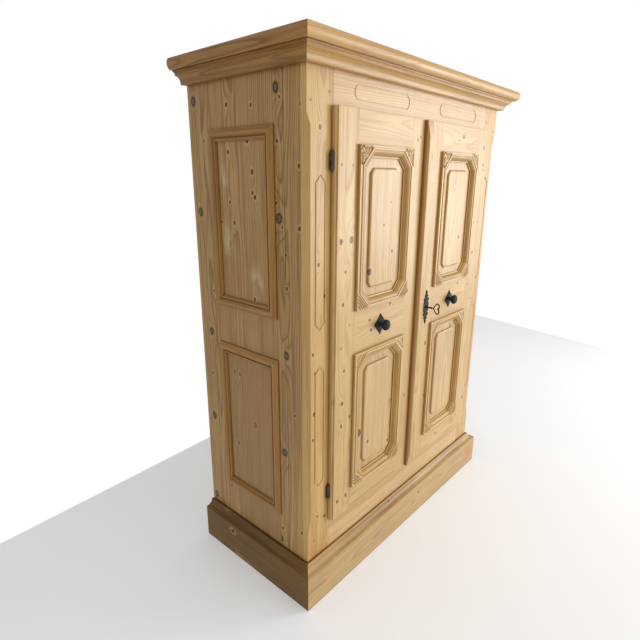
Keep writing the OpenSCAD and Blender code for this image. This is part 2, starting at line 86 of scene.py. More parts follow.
# ---------------------------------------------------------------- node graph helper
class G:
    def __init__(s, name):
        s.mat = bpy.data.materials.new(name)
        s.mat.use_nodes = True
        s.t = s.mat.node_tree
        s.t.nodes.clear()

    def n(s, kind, **kw):
        d = s.t.nodes.new("ShaderNode" + kind)
        for k, v in kw.items():
            setattr(d, k, v)
        return d

    def put(s, socket, v):
        if isinstance(v, bpy.types.NodeSocket):
            s.t.links.new(v, socket)
        elif v is not None:
            if socket.type == "RGBA" and not isinstance(v, (int, float)) and len(v) == 3:
                v = (*v, 1.0)
            socket.default_value = v

    def m(s, op, *a, clamp=False):
        d = s.n("Math", operation=op, use_clamp=clamp)
        for i, v in enumerate(a):
            s.put(d.inputs[i], v)
        return d.outputs[0]

    def v(s, op, *a, scale=None):
        d = s.n("VectorMath", operation=op)
        for i, x in enumerate(a):
            s.put(d.inputs[i], x)
        if scale is not None:
            s.put(d.inputs["Scale"], scale)
        return d.outputs["Value"] if op in ("LENGTH", "DOT_PRODUCT", "DISTANCE") else d.outputs[0]

    def xyz(s, x, y, z):
        d = s.n("CombineXYZ")
        for i, q in enumerate((x, y, z)):
            s.put(d.inputs[i], q)
        return d.outputs[0]

    def sep(s, vec):
        d = s.n("SeparateXYZ")
        s.put(d.inputs[0], vec)
        return d.outputs

    def mix(s, f, a, b, blend="MIX"):
        d = s.n("Mix", data_type="RGBA", blend_type=blend, clamp_factor=True)
        s.put(d.inputs[0], f)
        s.put(d.inputs[6], a)
        s.put(d.inputs[7], b)
        return d.outputs[2]

    def ramp(s, f, stops, mode="LINEAR"):
        d = s.n("ValToRGB")
        cr = d.color_ramp
        cr.interpolation = mode
        while len(cr.elements) < len(stops):
            cr.elements.new(0.5)
        for e, (p, c) in zip(cr.elements, stops):
            e.position = p
            e.color = (*c, 1.0) if not isinstance(c, (int, float)) else (c, c, c, 1.0)
        s.put(d.inputs[0], f)
        return d.outputs[0]

    def smooth(s, x, a, b):
        d = s.n("MapRange", interpolation_type="SMOOTHSTEP")
        for i, q in enumerate((x, a, b, 0.0, 1.0)):
            s.put(d.inputs[i], q)
        return d.outputs[0]

    def noise(s, vec, scale=1.0, detail=2.0, rough=0.5, dim="3D", w=None, dist=0.0):
        d = s.n("TexNoise", noise_dimensions=dim)
        if dim != "1D":
            s.put(d.inputs["Vector"], vec)
        if w is not None:
            s.put(d.inputs["W"], w)
        s.put(d.inputs["Scale"], scale)
        s.put(d.inputs["Detail"], detail)
        s.put(d.inputs["Roughness"], rough)
        s.put(d.inputs["Distortion"], dist)
        return d.outputs["Fac"]

    def attr(s, name):
        return s.n("Attribute", attribute_name=name).outputs["Vector"]


def lin(r, g, b):
    f = lambda c: c / 12.92 if c <= 0.04045 else ((c + 0.055) / 1.055) ** 2.4
    return (f(r), f(g), f(b))


def pine(name, early, late, knots=(), small=(), freq=150.0, contrast=0.7, streak=0.22, rough=0.42, coat=0.12,
         wear=0.25, crease_shade=0.75, pale=(0.86, 0.78, 0.64), blotch=(), lines=(), highlight_tint=(0.90, 0.78, 0.58), shade_wax_tint=(0.58, 0.355, 0.125), stains=()):
    """Sawn pine: growth rings of a log cut by the board, which bend round the knots."""
    g = G(name)
    gc = g.attr("gc")
    U, V, W = g.sep(gc)
    XC, D0, S = g.sep(g.attr("gp"))
    s13 = g.m("MULTIPLY", S, 13.7)
    n1 = g.m("MULTIPLY", g.m("SUBTRACT", g.noise(None, 1.0, 1.5, 0.5, "1D", w=g.m("MULTIPLY_ADD", V, 1.1, s13)), 0.5), 0.05)
    n2 = g.m("MULTIPLY", g.m("SUBTRACT", g.noise(None, 1.0, 1.5, 0.5, "1D", w=g.m("MULTIPLY_ADD", V, 0.9, g.m("ADD", s13, 37.0))), 0.5), 0.045)
    du = g.m("SUBTRACT", g.m("SUBTRACT", U, XC), n1)
    dw = g.m("SUBTRACT", g.m("SUBTRACT", W, D0), n2)
    R = g.m("SQRT", g.m("ADD", g.m("MULTIPLY", du, du), g.m("MULTIPLY", dw, dw)))
    off = g.xyz(s13, S, s13)
    wob = g.noise(g.v("ADD", g.v("MULTIPLY", gc, (14.0, 2.4, 14.0)), off), 1.0, 3.0, 0.55)
    R2 = g.m("MULTIPLY_ADD", g.m("SUBTRACT", wob, 0.5), 0.016, R)
    F = g.m("MULTIPLY", R2, freq)
    q_big = q_small = None
    wobq = g.noise(g.v("MULTIPLY", gc, (160.0, 110.0, 160.0)), 1.0, 2.0, 0.6)
    for big, group in ((True, knots), (False, small)):
        q = None
        for (ku, kv, kr) in group:
            d = g.v("SUBTRACT", gc, (ku, kv, 0.0))
            d = g.v("MULTIPLY", d, (1.0, 1.0, 0.0))
            w2 = g.v("MULTIPLY", d, (1 / (kr * 2.4), 1 / (kr * 6.5), 0.0))
            e = g.m("EXPONENT", g.m("MULTIPLY", g.v("DOT_PRODUCT", w2, w2), -1.0))
            F = g.m("MULTIPLY_ADD", e, kr * freq * 1.5, F)
            l = g.v("LENGTH", g.v("MULTIPLY", d, (1 / kr, 1 / (kr * 1.3), 0.0)))
            q = l if q is None else g.m("MINIMUM", q, l)
        if q is not None:
            q = g.m("ADD", q, g.m("MULTIPLY", g.m("SUBTRACT", wobq, 0.5), 0.35))
        if big:
            q_big = q
        else:
            q_small = q
    t = g.m("FRACT", F)
    ring = g.ramp(t, [(0.0, 0.05), (0.3, 0.0), (0.62, 0.28), (0.86, 1.0), (0.95, 0.85), (1.0, 0.05)])
    vary = g.noise(None, 1.0, 1.0, 0.5, "1D", w=g.m("MULTIPLY_ADD", g.m("FLOOR", F), 0.61, s13))
    ring = g.m("MULTIPLY", ring, g.m("MULTIPLY_ADD", vary, 1.5, 0.1), clamp=True)
    fib = g.noise(g.v("ADD", g.v("MULTIPLY", gc, (900.0, 22.0, 900.0)), off), 1.0, 2.0, 0.6)
    st = g.noise(g.v("ADD", g.v("MULTIPLY", gc, (60.0, 1.6, 60.0)), off), 1.0, 4.0, 0.7)
    tone = g.noise(g.v("ADD", g.v("MULTIPLY", gc, (5.0, 2.2, 5.0)), off), 1.0, 3.0, 0.6)
    col = g.mix(g.m("MULTIPLY", ring, contrast), early, late)
    mid = tuple(0.45 * a + 0.55 * b for a, b in zip(early, late))
    col = g.mix(g.m("MULTIPLY", g.smooth(st, 0.46, 0.68), streak * 2.4, clamp=True), col, tuple(0.25 * a + 0.75 * b for a, b in zip(early, late)))
    col = g.mix(g.m("MULTIPLY", g.smooth(tone, 0.42, 0.75), 0.30), col, tuple(c * 0.80 for c in mid))
    hl = g.m("MULTIPLY", g.smooth(tone, 0.52, 0.25), 0.25)
    col = g.mix(hl, col, tuple(min(1.0, c * 1.18) for c in early))
    # fine fibres and short resin dashes
    fv = g.m("MULTIPLY_ADD", fib, 0.26, 0.87)
    col = g.mix(1.0, col, g.xyz(fv, fv, fv), "MULTIPLY")
    dash = g.noise(g.v("ADD", g.v("MULTIPLY", gc, (330.0, 16.0, 330.0)), off), 1.0, 1.0, 0.5)
    col = g.mix(g.m("MULTIPLY", g.smooth(dash, 0.69, 0.78), 0.40), col, tuple(c * 0.42 for c in late))
    # knots
    if q_small is not None:
        kc = g.ramp(g.m("MULTIPLY", q_small, 0.5), [(0.0, lin(0.30, 0.145, 0.045)), (0.22, lin(0.40, 0.215, 0.08)),
                    (0.40, lin(0.30, 0.150, 0.05)), (0.50, lin(0.21, 0.095, 0.03)), (0.60, lin(0.62, 0.44, 0.25)), (0.72, lin(0.86, 0.74, 0.54)), (1.0, lin(0.80, 0.68, 0.47))])
        kf = g.ramp(g.m("MULTIPLY", q_small, 0.4), [(0.0, 1.0), (0.38, 0.95), (0.47, 0.55), (0.62, 0.45), (1.0, 0.0)])
        col = g.mix(kf, col, kc)
    if q_big is not None:
        kc = g.ramp(g.m("MULTIPLY", q_big, 0.5), [(0.0, lin(0.36, 0.30, 0.24)), (0.25, lin(0.44, 0.38, 0.30)), (0.36, lin(0.34, 0.27, 0.20)),
                    (0.41, lin(0.16, 0.11, 0.07)), (0.52, lin(0.15, 0.10, 0.06)), (0.58, lin(0.44, 0.33, 0.20)), (1.0, lin(0.74, 0.64, 0.47))])
        kf = g.ramp(g.m("MULTIPLY", q_big, 0.4), [(0.0, 1.0), (0.42, 1.0), (0.47, 0.62), (0.62, 0.50), (1.0, 0.0)])
        col = g.mix(kf, col, kc)
    # dark pitch lines that run with the grain
    for (lu, lw, lf) in lines:
        ln = g.noise(None, 1.0, 2.0, 0.5, "1D", w=g.m("MULTIPLY_ADD", V, 2.3, lu * 91.0))
        dd = g.m("ABSOLUTE", g.m("SUBTRACT", g.m("MULTIPLY_ADD", g.m("SUBTRACT", ln, 0.5), 0.012, U), lu))
        lm = g.m("MULTIPLY", g.smooth(dd, lw, lw * 0.2), g.m("MULTIPLY", g.smooth(ln, 0.25, 0.6), lf))
        col = g.mix(lm, col, lin(0.36, 0.25, 0.13))
    # patches where the wax has gone orange or brown
    for (su, sv, ru, rv, sc, sf) in stains:
        d = g.v("MULTIPLY", g.v("SUBTRACT", gc, (su, sv, 0.0)), (1 / ru, 1 / rv, 0.0))
        e = g.m("EXPONENT", g.m("MULTIPLY", g.v("DOT_PRODUCT", d, d), -1.0))
        sn = g.smooth(g.m("MULTIPLY_ADD", g.m("SUBTRACT", wob, 0.5), 1.2, e), 0.35, 0.62)
        col = g.mix(g.m("MULTIPLY", sn, sf), col, lin(*sc))
    # painted highlight: proud fillets made pale
    highlight_mask = g.n("Attribute", attribute_name="proud").outputs["Fac"]
    col = g.mix(g.m("MULTIPLY", highlight_mask, 0.8), col, lin(*highlight_tint))
    # painted shade, partly dark wax: shaded walls, creases and carved hollows darkened
    cut = g.n("Attribute", attribute_name="cut").outputs["Fac"]
    col = g.mix(g.m("MULTIPLY", cut, 0.8), col, lin(*shade_wax_tint))
    # pale rubbed places
    wn = g.noise(g.v("ADD", g.v("MULTIPLY", gc, (26.0, 9.0, 26.0)), off), 1.0, 4.0, 0.65)
    wf = g.m("MULTIPLY", g.smooth(wn, 0.60, 0.74), wear)
    for (bu, bv, br) in blotch:
        d = g.v("MULTIPLY", g.v("SUBTRACT", gc, (bu, bv, 0.0)), (1 / br, 0.6 / br, 0.0))
        e = g.m("EXPONENT", g.m("MULTIPLY", g.v("DOT_PRODUCT", d, d), -1.0))
        wf = g.m("ADD", wf, g.m("MULTIPLY", e, g.smooth(wn, 0.40, 0.60)), clamp=True)
    col = g.mix(wf, col, lin(*pale))
    # painted shade: creases and corners darkened by ambient occlusion
    ao = g.n("AmbientOcclusion", samples=8)
    ao.inputs["Distance"].default_value = 0.016
    crease_shade_mask = g.smooth(ao.outputs["AO"], 0.90, 0.28)
    col = g.mix(g.m("MULTIPLY", crease_shade_mask, crease_shade), col, g.mix(1.0, col, lin(0.70, 0.50, 0.27), "MULTIPLY"))
    col = g.mix(1.0, col, (1.0, 0.955, 0.74), "MULTIPLY")
    b = g.n("BsdfPrincipled")
    g.put(b.inputs["Base Color"], col)
    rr = g.m("MULTIPLY_ADD", tone, 0.16, rough - 0.08)
    rr = g.m("MULTIPLY_ADD", ring, 0.06, rr)
    g.put(b.inputs["Roughness"], rr)
    b.inputs["Coat Weight"].default_value = coat
    b.inputs["Coat Roughness"].default_value = 0.42
    b.inputs["Specular IOR Level"].default_value = 0.42
    h = g.m("MULTIPLY_ADD", ring, 0.35, g.m("MULTIPLY", fib, 0.45))
    h = g.m("MULTIPLY_ADD", tone, 1.2, h)
    bump = g.n("Bump")
    bump.inputs["Strength"].default_value = 0.30
    bump.inputs["Distance"].default_value = 0.0007
    g.put(bump.inputs["Height"], h)
    g.put(b.inputs["Normal"], bump.outputs[0])
    out = g.n("OutputMaterial")
    g.put(out.inputs[0], b.outputs[0])
    return g.mat


def iron(name, base=(0.013, 0.012, 0.0115), rust=0.20, rough=0.56):
    g = G(name)
    tc = g.n("TexCoord").outputs["Object"]
    a = g.noise(tc, 55.0, 5.0, 0.65)
    b2 = g.noise(tc, 420.0, 3.0, 0.6)
    c = g.noise(tc, 150.0, 4.0, 0.7)
    col = g.mix(g.smooth(a, 0.35, 0.7), tuple(x * 0.6 for x in base), tuple(x * 1.9 for x in base))
    col = g.mix(g.m("MULTIPLY", g.smooth(c, 0.55, 0.72), rust), col, lin(0.33, 0.20, 0.13))
    # painted shade: crevices in the iron darkened by ambient occlusion
    ao = g.n("AmbientOcclusion", samples=8)
    ao.inputs["Distance"].default_value = 0.006
    col = g.mix(g.smooth(ao.outputs["AO"], 0.8, 0.3), col, tuple(x * 0.45 for x in base))
    p = g.n("BsdfPrincipled")
    g.put(p.inputs["Base Color"], col)
    p.inputs["Metallic"].default_value = 0.15
    g.put(p.inputs["Roughness"], g.m("MULTIPLY_ADD", a, 0.30, rough - 0.12))
    p.inputs["Specular IOR Level"].default_value = 0.32
    bump = g.n("Bump")
    bump.inputs["Strength"].default_value = 0.5
    bump.inputs["Distance"].default_value = 0.0006
    g.put(bump.inputs["Height"], g.m("MULTIPLY_ADD", c, 0.6, g.m("MULTIPLY", b2, 0.5)))
    g.put(p.inputs["Normal"], bump.outputs[0])
    out = g.n("OutputMaterial")
    g.put(out.inputs[0], p.outputs[0])
    return g.mat


# ---------------------------------------------------------------- mesh helpers
def islands(bm):
    seen, out = set(), []
    for v in bm.verts:
        if v in seen:
            continue
        todo, part = [v], []
        seen.add(v)
        while todo:
            x = todo.pop()
            part.append(x)
            for e in x.link_edges:
                y = e.other_vert(x)
                if y not in seen:
                    seen.add(y)
                    todo.append(y)
        out.append(part)
    return out


AX3 = {"x": Vector((1, 0, 0)), "y": Vector((0, 1, 0)), "z": Vector((0, 0, 1))}


def wood_coords(bm, grain, world=False, pith=None, r=rng):
    """Writes each board's own coordinates: across, along and into the wood."""
    gc = bm.verts.layers.float_vector.new("gc")
    gp = bm.verts.layers.float_vector.new("gp")
    for part in islands(bm):
        pts = np.array([v.co for v in part])
        c = (pts.min(0) + pts.max(0)) / 2
        if grain == "auto":
            q = pts - pts.mean(0)
            _, _, vt = np.linalg.svd(q, full_matrices=False)
            ev, eu = Vector(vt[0]), Vector(vt[1])
            if abs(ev.z) > 0.3 and ev.z < 0:
                ev = -ev
        else:
            ev = AX3[grain].copy()
            others = [a for k, a in AX3.items() if k != grain]
            ext = [float(np.ptp(pts @ np.array(a))) for a in others]
            eu = others[0 if ext[0] >= ext[1] else 1].copy()
        ew = eu.cross(ev)
        q = pts - c
        width = float(np.ptp(q @ np.array(eu)))
        ou, ov, seed = (0.0, 0.0, r.uniform(0, 9)) if world else (r.uniform(-5, 5), r.uniform(-20, 20), r.uniform(0, 9))
        if world:
            c = np.zeros(3)
            mid = float(((pts.min(0) + pts.max(0)) / 2) @ np.array(eu))
        else:
            mid = ou
        wmid = float(((pts.min(0) + pts.max(0)) / 2) @ np.array(ew)) if world else 0.0
        if pith is None:
            xc = mid + r.uniform(-0.45, 0.45) * max(width, 0.05)
            d0 = wmid + r.choice((-1, 1)) * r.uniform(0.035, 0.10)
        else:
            xc, d0 = mid + pith[0], wmid + pith[1]
        for v in part:
            d = v.co - Vector(c)
            v[gc] = (d.dot(eu) + ou, d.dot(ev) + ov, d.dot(ew))
            v[gp] = (xc, d0, seed)


def finish_bm(bm, name, mat, body, replaces=(), sharp=38.0, weighted=True):
    for f in bm.faces:
        f.smooth = True
    for e in bm.edges:
        if len(e.link_faces) == 2 and e.calc_face_angle(0.0) > math.radians(sharp):
            e.smooth = False
    me = bpy.data.meshes.new(name)
    bm.to_mesh(me)
    bm.free()
    o = bpy.data.objects.new(name, me)
    bpy.context.scene.collection.objects.link(o)
    me.materials.append(mat)
    if weighted:
        w = o.modifiers.new("weighted", "WEIGHTED_NORMAL")
        w.keep_sharp = True
        w.weight = 80
    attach(o, body)
    if replaces:
        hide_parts(*replaces)
    return o


def cad_bm(node, ang=0.5):
    bm = bmesh.new()
    bm.from_mesh(N[node].data)
    bmesh.ops.remove_doubles(bm, verts=bm.verts, dist=3e-6)
    bmesh.ops.dissolve_limit(bm, angle_limit=math.radians(ang), verts=bm.verts, edges=bm.edges, use_dissolve_boundaries=False)
    bmesh.ops.recalc_face_normals(bm, faces=bm.faces)
    return bm


def bevel_long(bm, width, seg=2, min_len=0.012, ang=30.0):
    es = [e for e in bm.edges if len(e.link_faces) == 2 and e.calc_length() > min_len
          and e.calc_face_angle(0.0) > math.radians(ang) and e.is_convex]
    if es:
        bmesh.ops.bevel(bm, geom=es, offset=width, segments=seg, profile=0.62, affect="EDGES", clamp_overlap=True)


def board(node, mat, grain, bevel=0.0013, world=False, pith=None, min_len=0.012, name=None):
    bm = cad_bm(node)
    if bevel:
        bevel_long(bm, bevel, 2, min_len)
    wood_coords(bm, grain, world, pith)
    return finish_bm(bm, name or node + "_wood", mat, BODY_OF[node], (node,))


def lathe(profile, seg=72, wob=0.0):
    """Closed solid from (radius, height) points, round +Z."""
    bm = bmesh.new()
    rings = []
    for i, (r, h) in enumerate(profile):
        if r < 1e-6:
            rings.append([bm.verts.new((0, 0, h))])
        else:
            rings.append([bm.verts.new((r * math.cos(2 * math.pi * k / seg) * (1 + wob * math.sin(3 * k * 2 * math.pi / seg + i)),
                                        r * math.sin(2 * math.pi * k / seg), h)) for k in range(seg)])
    for a, b in zip(rings, rings[1:]):
        for k in range(seg):
            k2 = (k + 1) % seg
            if len(a) == 1:
                bm.faces.new((a[0], b[k], b[k2]))
            elif len(b) == 1:
                bm.faces.new((a[k], a[k2], b[0]))
            else:
                bm.faces.new((a[k], a[k2], b[k2], b[k]))
    bmesh.ops.recalc_face_normals(bm, faces=bm.faces)
    return bm


def smooth_profile(pts, n=6):
    """Catmull-Rom through the points."""
    out = []
    p = [pts[0]] + list(pts) + [pts[-1]]
    for i in range(1, len(p) - 2):
        for k in range(n):
            t = k / n
            out.append(tuple(0.5 * ((2 * p[i][j]) + (-p[i - 1][j] + p[i + 1][j]) * t + (2 * p[i - 1][j] - 5 * p[i][j] + 4 * p[i + 1][j] - p[i + 2][j]) * t * t
                                    + (-p[i - 1][j] + 3 * p[i][j] - 3 * p[i + 1][j] + p[i + 2][j]) * t ** 3) for j in range(2)))
    out.append(tuple(pts[-1]))
    return out


def front_matrix(x, y, z):
    """Local x, y, z become X, Z, -Y at that point."""
    return Matrix.Translation((x, y, z)) @ Matrix.Rotation(math.radians(90), 4, "X")


def tube(path, radius, seg=12, closed=True, flat=1.0):
    bm = bmesh.new()
    n = len(path)
    rings = []
    for i, p in enumerate(path):
        a = path[(i - 1) % n] if closed or i > 0 else p
        b = path[(i + 1) % n] if closed or i < n - 1 else p
        t = (Vector(b) - Vector(a)).normalized()
        side = Vector((1, 0, 0))
        up = t.cross(side).normalized()
        r = radius(i / n) if callable(radius) else radius
        rings.append([bm.verts.new(Vector(p) + r * (math.cos(2 * math.pi * k / seg) * up + flat * math.sin(2 * math.pi * k / seg) * side)) for k in range(seg)])
    m = n if closed else n - 1
    for i in range(m):
        a, b = rings[i], rings[(i + 1) % n]
        for k in range(seg):
            bm.faces.new((a[k], a[(k + 1) % seg], b[(k + 1) % seg], b[k]))
    if not closed:
        bm.faces.new(rings[0])
        bm.faces.new(list(reversed(rings[-1])))
    bmesh.ops.recalc_face_normals(bm, faces=bm.faces)
    return bm


def merge(dst, src):
    me = bpy.data.meshes.new("tmp_merge")
    src.to_mesh(me)
    src.free()
    dst.from_mesh(me)
    bpy.data.meshes.remove(me)


# ---------------------------------------------------------------- materials
# The front pine is lighter than the side pine: one wood, a lit copy for the front as painted light and a darker copy
# for the sides as painted shade. The honey for the mouldings is darker too, painted shade on their slopes.
E_LIT_FRONT, L_LIT_FRONT = lin(0.820, 0.695, 0.500), lin(0.675, 0.470, 0.225)
E_SHADED_SIDE, L_SHADED_SIDE = lin(0.735, 0.592, 0.405), lin(0.510, 0.350, 0.185)
E_HONEY, L_HONEY = lin(0.735, 0.585, 0.340), lin(0.575, 0.395, 0.165)
E_RAW, L_RAW = lin(0.74, 0.62, 0.44), lin(0.58, 0.43, 0.26)


def at_side(pts):
    return [(YF + y / 1000, z / 1000, r) for y, z, r in pts]


big_f = at_side([(126, 1815, 0.0105), (121, 1433, 0.0115), (97, 973, 0.0100), (114, 592, 0.0105), (142, 200, 0.0100)])
big_b = at_side([(548, 1813, 0.0110), (543, 1433, 0.0105), (520, 971, 0.0105), (536, 595, 0.0105), (556, 199, 0.0105)])
small_f = at_side([(24, 1763, 0.0045), (112, 1788, 0.004), (125, 1665, 0.0045), (32, 1591, 0.0050), (132, 1481, 0.004), (108, 1407, 0.0045), (31, 1407, 0.0050),
                   (92, 1320, 0.004), (90, 1209, 0.0045), (29, 287, 0.0050), (131, 252, 0.0045), (60, 760, 0.004)])
small_m = at_side([(364, 1787, 0.0055), (241, 1776, 0.0045), (265, 1675, 0.0075), (366, 1640, 0.0050), (245, 1575, 0.0060), (246, 1509, 0.0050), (234, 1495, 0.0055),
                   (367, 1475, 0.0045), (347, 1405, 0.0050), (418, 1404, 0.0045), (252, 1146, 0.0055), (385, 835, 0.0065), (355, 832, 0.0060), (274, 643, 0.0085),
                   (381, 527, 0.0065), (443, 297, 0.0060)])
small_b = at_side([(500, 1680, 0.004), (490, 1140, 0.004), (530, 790, 0.005)])
door_marks = [(-0.4594, 1.3605, 0.0085), (-0.5142, 1.3589, 0.0070), (-0.4878, 1.2568, 0.0045), (-0.4977, 1.1450, 0.0050), (-0.4849, 0.9004, 0.0045), (-0.4925, 0.7744, 0.0060),
              (-0.4957, 0.6851, 0.0055), (-0.4466, 0.7065, 0.0040), (-0.5111, 0.3695, 0.0060), (-0.4596, 0.3726, 0.0055), (-0.0926, 1.1273, 0.0055), (-0.0681, 0.6621, 0.0050),
              (-0.0562, 1.7052, 0.0040), (-0.0762, 1.6936, 0.0045), (0.0405, 1.5707, 0.0060), (0.0831, 0.8604, 0.0060), (0.1050, 0.6008, 0.0045), (0.4997, 1.6916, 0.0065),
              (0.5064, 1.6181, 0.0060), (0.4766, 1.2207, 0.0060), (0.5219, 0.4449, 0.0060)]
panel_marks = [(-0.3487, 1.2376, 0.0085), (-0.2142, 1.2981, 0.0055), (-0.2736, 1.3973, 0.0040), (-0.2356, 1.4760, 0.0030), (-0.3750, 0.6038, 0.0110), (-0.3250, 0.5498, 0.0055),
               (-0.1700, 0.4863, 0.0050), (-0.1648, 0.6708, 0.0040), (0.3207, 1.3050, 0.0070), (0.1734, 0.8829, 0.0060), (0.3268, 0.8862, 0.0060), (0.2450, 1.5100, 0.0035)]
rail_marks = [(1.096, -0.2108, 0.0050), (1.0581, -0.3414, 0.0045), (1.0169, -0.3296, 0.0050), (0.2814, -0.2279, 0.0060), (0.2817, -0.1904, 0.0050), (1.0888, 0.3510, 0.0045),
              (1.7260, 0.2922, 0.0070), (1.7100, 0.2500, 0.0035), (0.345, 0.250, 0.005)]

M = {}
M["side_f"] = pine("pine_side_front", E_SHADED_SIDE, L_SHADED_SIDE, knots=big_f, small=small_f, contrast=0.85, streak=0.40, wear=0.08, freq=120.0,
                   lines=[(YF + 0.096, 0.0030, 0.8), (YF + 0.106, 0.0018, 0.6), (YF + 0.012, 0.0020, 0.5)], pale=(0.74, 0.66, 0.52))
M["side_b"] = pine("pine_side_back", E_SHADED_SIDE, L_SHADED_SIDE, knots=big_b, small=small_b, contrast=0.85, streak=0.40, wear=0.08, freq=120.0,
                   lines=[(YF + 0.505, 0.0022, 0.6), (YF + 0.565, 0.0018, 0.5)], pale=(0.74, 0.66, 0.52))
M["side_m"] = pine("pine_side_middle", E_SHADED_SIDE, L_SHADED_SIDE, small=small_m, stains=[(YF + 0.28, 0.55, 0.40, 0.50, (0.58, 0.455, 0.30), 0.55)], contrast=0.75, streak=0.38, wear=0.16, freq=120.0, pale=(0.80, 0.74, 0.63),
                   blotch=[(YF + 0.395, 1.56, 0.02), (YF + 0.40, 1.33, 0.03), (YF + 0.24, 1.20, 0.03), (YF + 0.17, 1.21, 0.022)])
# FR also gives the colour of the painted highlight on proud fillets
FR = dict(coat=0.60, highlight_tint=(0.90, 0.80, 0.62))
M["front"] = pine("pine_front", E_LIT_FRONT, L_LIT_FRONT, contrast=0.52, streak=0.22, **FR)
M["stile_l"] = pine("pine_front_stile", lin(0.815, 0.675, 0.440), lin(0.66, 0.460, 0.205), small=[(-0.5942, 1.7016, 0.0055), (-0.5681, 1.1851, 0.0050), (-0.5982, 1.2918, 0.0050),
    (-0.624, 0.994, 0.0045), (-0.614, 0.923, 0.0045), (-0.618, 0.773, 0.0060), (-0.623, 0.674, 0.0045), (-0.60, 0.345, 0.004), (-0.56, 0.325, 0.0055)], contrast=0.66, streak=0.32, **FR)
M["rail"] = pine("pine_front_rail", lin(0.865, 0.745, 0.595), lin(0.71, 0.52, 0.32), stains=[(0.27, 0.0, 0.03, 0.9, (0.74, 0.53, 0.28), 0.5)], contrast=0.55, streak=0.22, **FR)
M["door"] = pine("pine_door", E_LIT_FRONT, L_LIT_FRONT, small=door_marks, contrast=0.52, streak=0.26, **FR)
ORANGE, BROWN = (0.78, 0.53, 0.22), (0.55, 0.40, 0.26)
M["drail"] = pine("pine_door_rail", E_LIT_FRONT, L_LIT_FRONT, small=rail_marks, stains=[(0.355, 0.430, 0.022, 0.060, ORANGE, 0.7), (0.3115, -0.25, 0.006, 0.30, BROWN, 0.4)], contrast=0.44, streak=0.22, **FR)
M["carved"] = pine("pine_carved", E_LIT_FRONT, L_LIT_FRONT, contrast=0.45, streak=0.18, crease_shade=0.9, **FR)
M["panel"] = pine("pine_panel", lin(0.825, 0.700, 0.515), lin(0.66, 0.48, 0.285), small=panel_marks, contrast=0.66, streak=0.30, crease_shade=0.9, **FR)
# mouldings: honey, darker than the front as painted shade on the slopes, with a pale painted highlight on the proud
# fillets
M["mould"] = pine("pine_moulding", E_HONEY, L_HONEY, contrast=0.45, streak=0.24, crease_shade=0.95, wear=0.08, coat=0.30, highlight_tint=(0.91, 0.81, 0.62))
M["strip"] = pine("pine_strip", lin(0.80, 0.67, 0.46), lin(0.63, 0.45, 0.23), contrast=0.50, streak=0.24, crease_shade=0.9, wear=0.08, coat=0.45)
M["smould"] = pine("pine_side_moulding", lin(0.675, 0.515, 0.285), lin(0.53, 0.355, 0.155), contrast=0.5, streak=0.28, crease_shade=0.85, wear=0.05)
M["cornice"] = pine("pine_cornice", lin(0.800, 0.645, 0.420), lin(0.62, 0.440, 0.225), contrast=0.58, streak=0.28, crease_shade=0.95, wear=0.10, coat=0.50)
# painted shade: the cornice sides get a darker copy of the cornice pine
M["cornice_shaded"] = pine("pine_cornice_side_shaded", lin(0.640, 0.475, 0.250), lin(0.45, 0.300, 0.125), contrast=0.8, streak=0.28, crease_shade=0.9, wear=0.06)
M["plinth"] = pine("pine_plinth", lin(0.775, 0.655, 0.470), lin(0.59, 0.430, 0.245), small=[(0.1603, -0.1345, 0.006), (0.1015, 0.0858, 0.006)],
                   stains=[(0.075, 0.615, 0.045, 0.060, ORANGE, 0.7), (0.156, -0.20, 0.012, 0.45, BROWN, 0.55), (0.156, 0.40, 0.010, 0.30, BROWN, 0.45)], contrast=0.66, streak=0.28, crease_shade=0.9, coat=0.45)
# painted shade: the plinth sides get a darker copy of the plinth pine
M["plinth_s"] = pine("pine_plinth_side", lin(0.475, 0.355, 0.180), lin(0.33, 0.225, 0.095), small=[(0.113, YF + 0.398, 0.008)], contrast=0.6, streak=0.3, crease_shade=0.9, coat=0.0, rough=0.6)
M["peg"] = pine("pine_peg", lin(0.66, 0.54, 0.42), lin(0.52, 0.40, 0.30), contrast=0.5)
M["raw"] = pine("pine_inside", E_RAW, L_RAW, contrast=0.6, rough=0.6, coat=0.0, crease_shade=0.5)
M["iron"] = iron("black_iron")
M["rusty"] = iron("old_iron", (0.05, 0.042, 0.036), rust=0.55, rough=0.55)

# ---------------------------------------------------------------- carcass
def mirror_side(mat_names):
    return [M[k] for k in mat_names]


def side_boards(node, sign):
    src = cad_bm(node)
    parts = islands(src)
    order = sorted(range(len(parts)), key=lambda i: min(v.co.y for v in parts[i]))
    keep = [[v.co.copy() for v in parts[i]] for i in order]
    src.free()
    for i, pts in enumerate(keep):
        a = Vector([min(p[k] for p in pts) for k in range(3)])
        b = Vector([max(p[k] for p in pts) for k in range(3)])
        bm = bmesh.new()
        bmesh.ops.create_cube(bm, size=1.0)
        for v in bm.verts:
            v.co = Vector([(a[k] + b[k]) / 2 + v.co[k] * (b[k] - a[k]) for k in range(3)])
        bevel_long(bm, 0.0012, 2)
        wood_coords(bm, "z", world=True, pith=((0.02, -0.05), (0.045, -0.055), (-0.015, -0.05))[i])
        o = finish_bm(bm, f"{node}_{('front', 'middle', 'back')[i]}", M[("side_f", "side_m", "side_b")[i]], "carcass", (node,))


